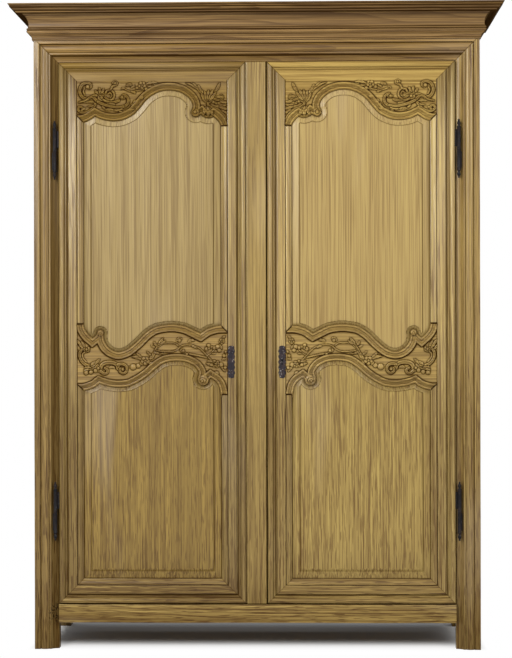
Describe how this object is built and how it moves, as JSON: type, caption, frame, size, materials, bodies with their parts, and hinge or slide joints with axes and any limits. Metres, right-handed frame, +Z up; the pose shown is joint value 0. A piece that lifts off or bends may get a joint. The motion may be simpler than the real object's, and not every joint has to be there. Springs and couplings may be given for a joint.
{
  "type": "armoire cabinet",
  "caption": "Tall waxed oak armoire with a moulded cornice, carved serpentine door rails, raised panels, a false centre post, long pin hinges, shelves, a lock and sliding bolts.",
  "frame": {"origin": "on the floor, at the middle of the cabinet's box", "axes": "+Z up, +X to the right as seen from the front, the doors face -Y"},
  "size_m": [1.68, 0.66, 2.2],
  "materials": {
    "oak_frame": "waxed oak, satin",
    "oak_panels": "waxed oak, satin",
    "oak_boards": "planed oak, dry",
    "wrought_iron": "worn black wrought iron"
  },
  "bodies": {
    "carcass": {"back_boards": "oak_boards", "carcass_pegs": "oak_frame", "cornice_front": "oak_frame", "cornice_left": "oak_frame", "cornice_right": "oak_frame", "floor_boards": "oak_boards", "front_bottom_rail": "oak_frame", "front_post_left": "oak_frame", "front_post_right": "oak_frame", "front_top_rail": "oak_frame", "hinge_frame_halves": "wrought_iron", "hinge_pins": "wrought_iron", "rear_bottom_rail": "oak_frame", "rear_post_left": "oak_frame", "rear_post_right": "oak_frame", "rear_top_rail": "oak_frame", "shelf_cleats": "oak_boards", "shelf_lower": "oak_boards", "shelf_middle": "oak_boards", "shelf_upper": "oak_boards", "side_bottom_rail_left": "oak_frame", "side_bottom_rail_right": "oak_frame", "side_mid_rail_left": "oak_frame", "side_mid_rail_right": "oak_frame", "side_panel_lower_left": "oak_panels", "side_panel_lower_right": "oak_panels", "side_panel_upper_left": "oak_panels", "side_panel_upper_right": "oak_panels", "side_top_rail_left": "oak_frame", "side_top_rail_right": "oak_frame", "top_boards": "oak_boards"},
    "left_door": {"left_bottom_rail": "oak_frame", "left_door_pegs": "oak_frame", "left_escutcheon": "wrought_iron", "left_hinge_halves": "wrought_iron", "left_hinge_stile": "oak_frame", "left_lock_stile": "oak_frame", "left_lower_panel": "oak_panels", "left_mid_rail": "oak_frame", "left_top_rail": "oak_frame", "left_upper_panel": "oak_panels", "false_post": "oak_frame", "lock_keeper": "wrought_iron", "bolt_guides": "wrought_iron"},
    "right_door": {"right_bottom_rail": "oak_frame", "right_door_pegs": "oak_frame", "right_escutcheon": "wrought_iron", "right_hinge_halves": "wrought_iron", "right_hinge_stile": "oak_frame", "right_lock_stile": "oak_frame", "right_lower_panel": "oak_panels", "right_mid_rail": "oak_frame", "right_top_rail": "oak_frame", "right_upper_panel": "oak_panels", "lock_case": "wrought_iron", "lock_spring": "wrought_iron"},
    "lock_bolt": {"lock_bolt": "wrought_iron"},
    "top_bolt": {"top_bolt": "wrought_iron"},
    "bottom_bolt": {"bottom_bolt": "wrought_iron"}
  },
  "joints": [
    {"name": "left_door_hinge", "type": "hinge", "parent": "carcass", "child": "left_door", "pos_m": [-0.6905, -0.252, 0.156], "axis": [0, 0, -1], "range_deg": [0, 165]},
    {"name": "right_door_hinge", "type": "hinge", "parent": "carcass", "child": "right_door", "pos_m": [0.6905, -0.252, 0.156], "axis": [0, 0, 1], "range_deg": [0, 165]},
    {"name": "lock_bolt_slide", "type": "slide", "parent": "right_door", "child": "lock_bolt", "axis": [-1, 0, 0], "range_m": [0, 0.018]},
    {"name": "top_bolt_slide", "type": "slide", "parent": "left_door", "child": "top_bolt", "axis": [0, 0, 1], "range_m": [0, 0.02]},
    {"name": "bottom_bolt_slide", "type": "slide", "parent": "left_door", "child": "bottom_bolt", "axis": [0, 0, -1], "range_m": [0, 0.017]}
  ]
}
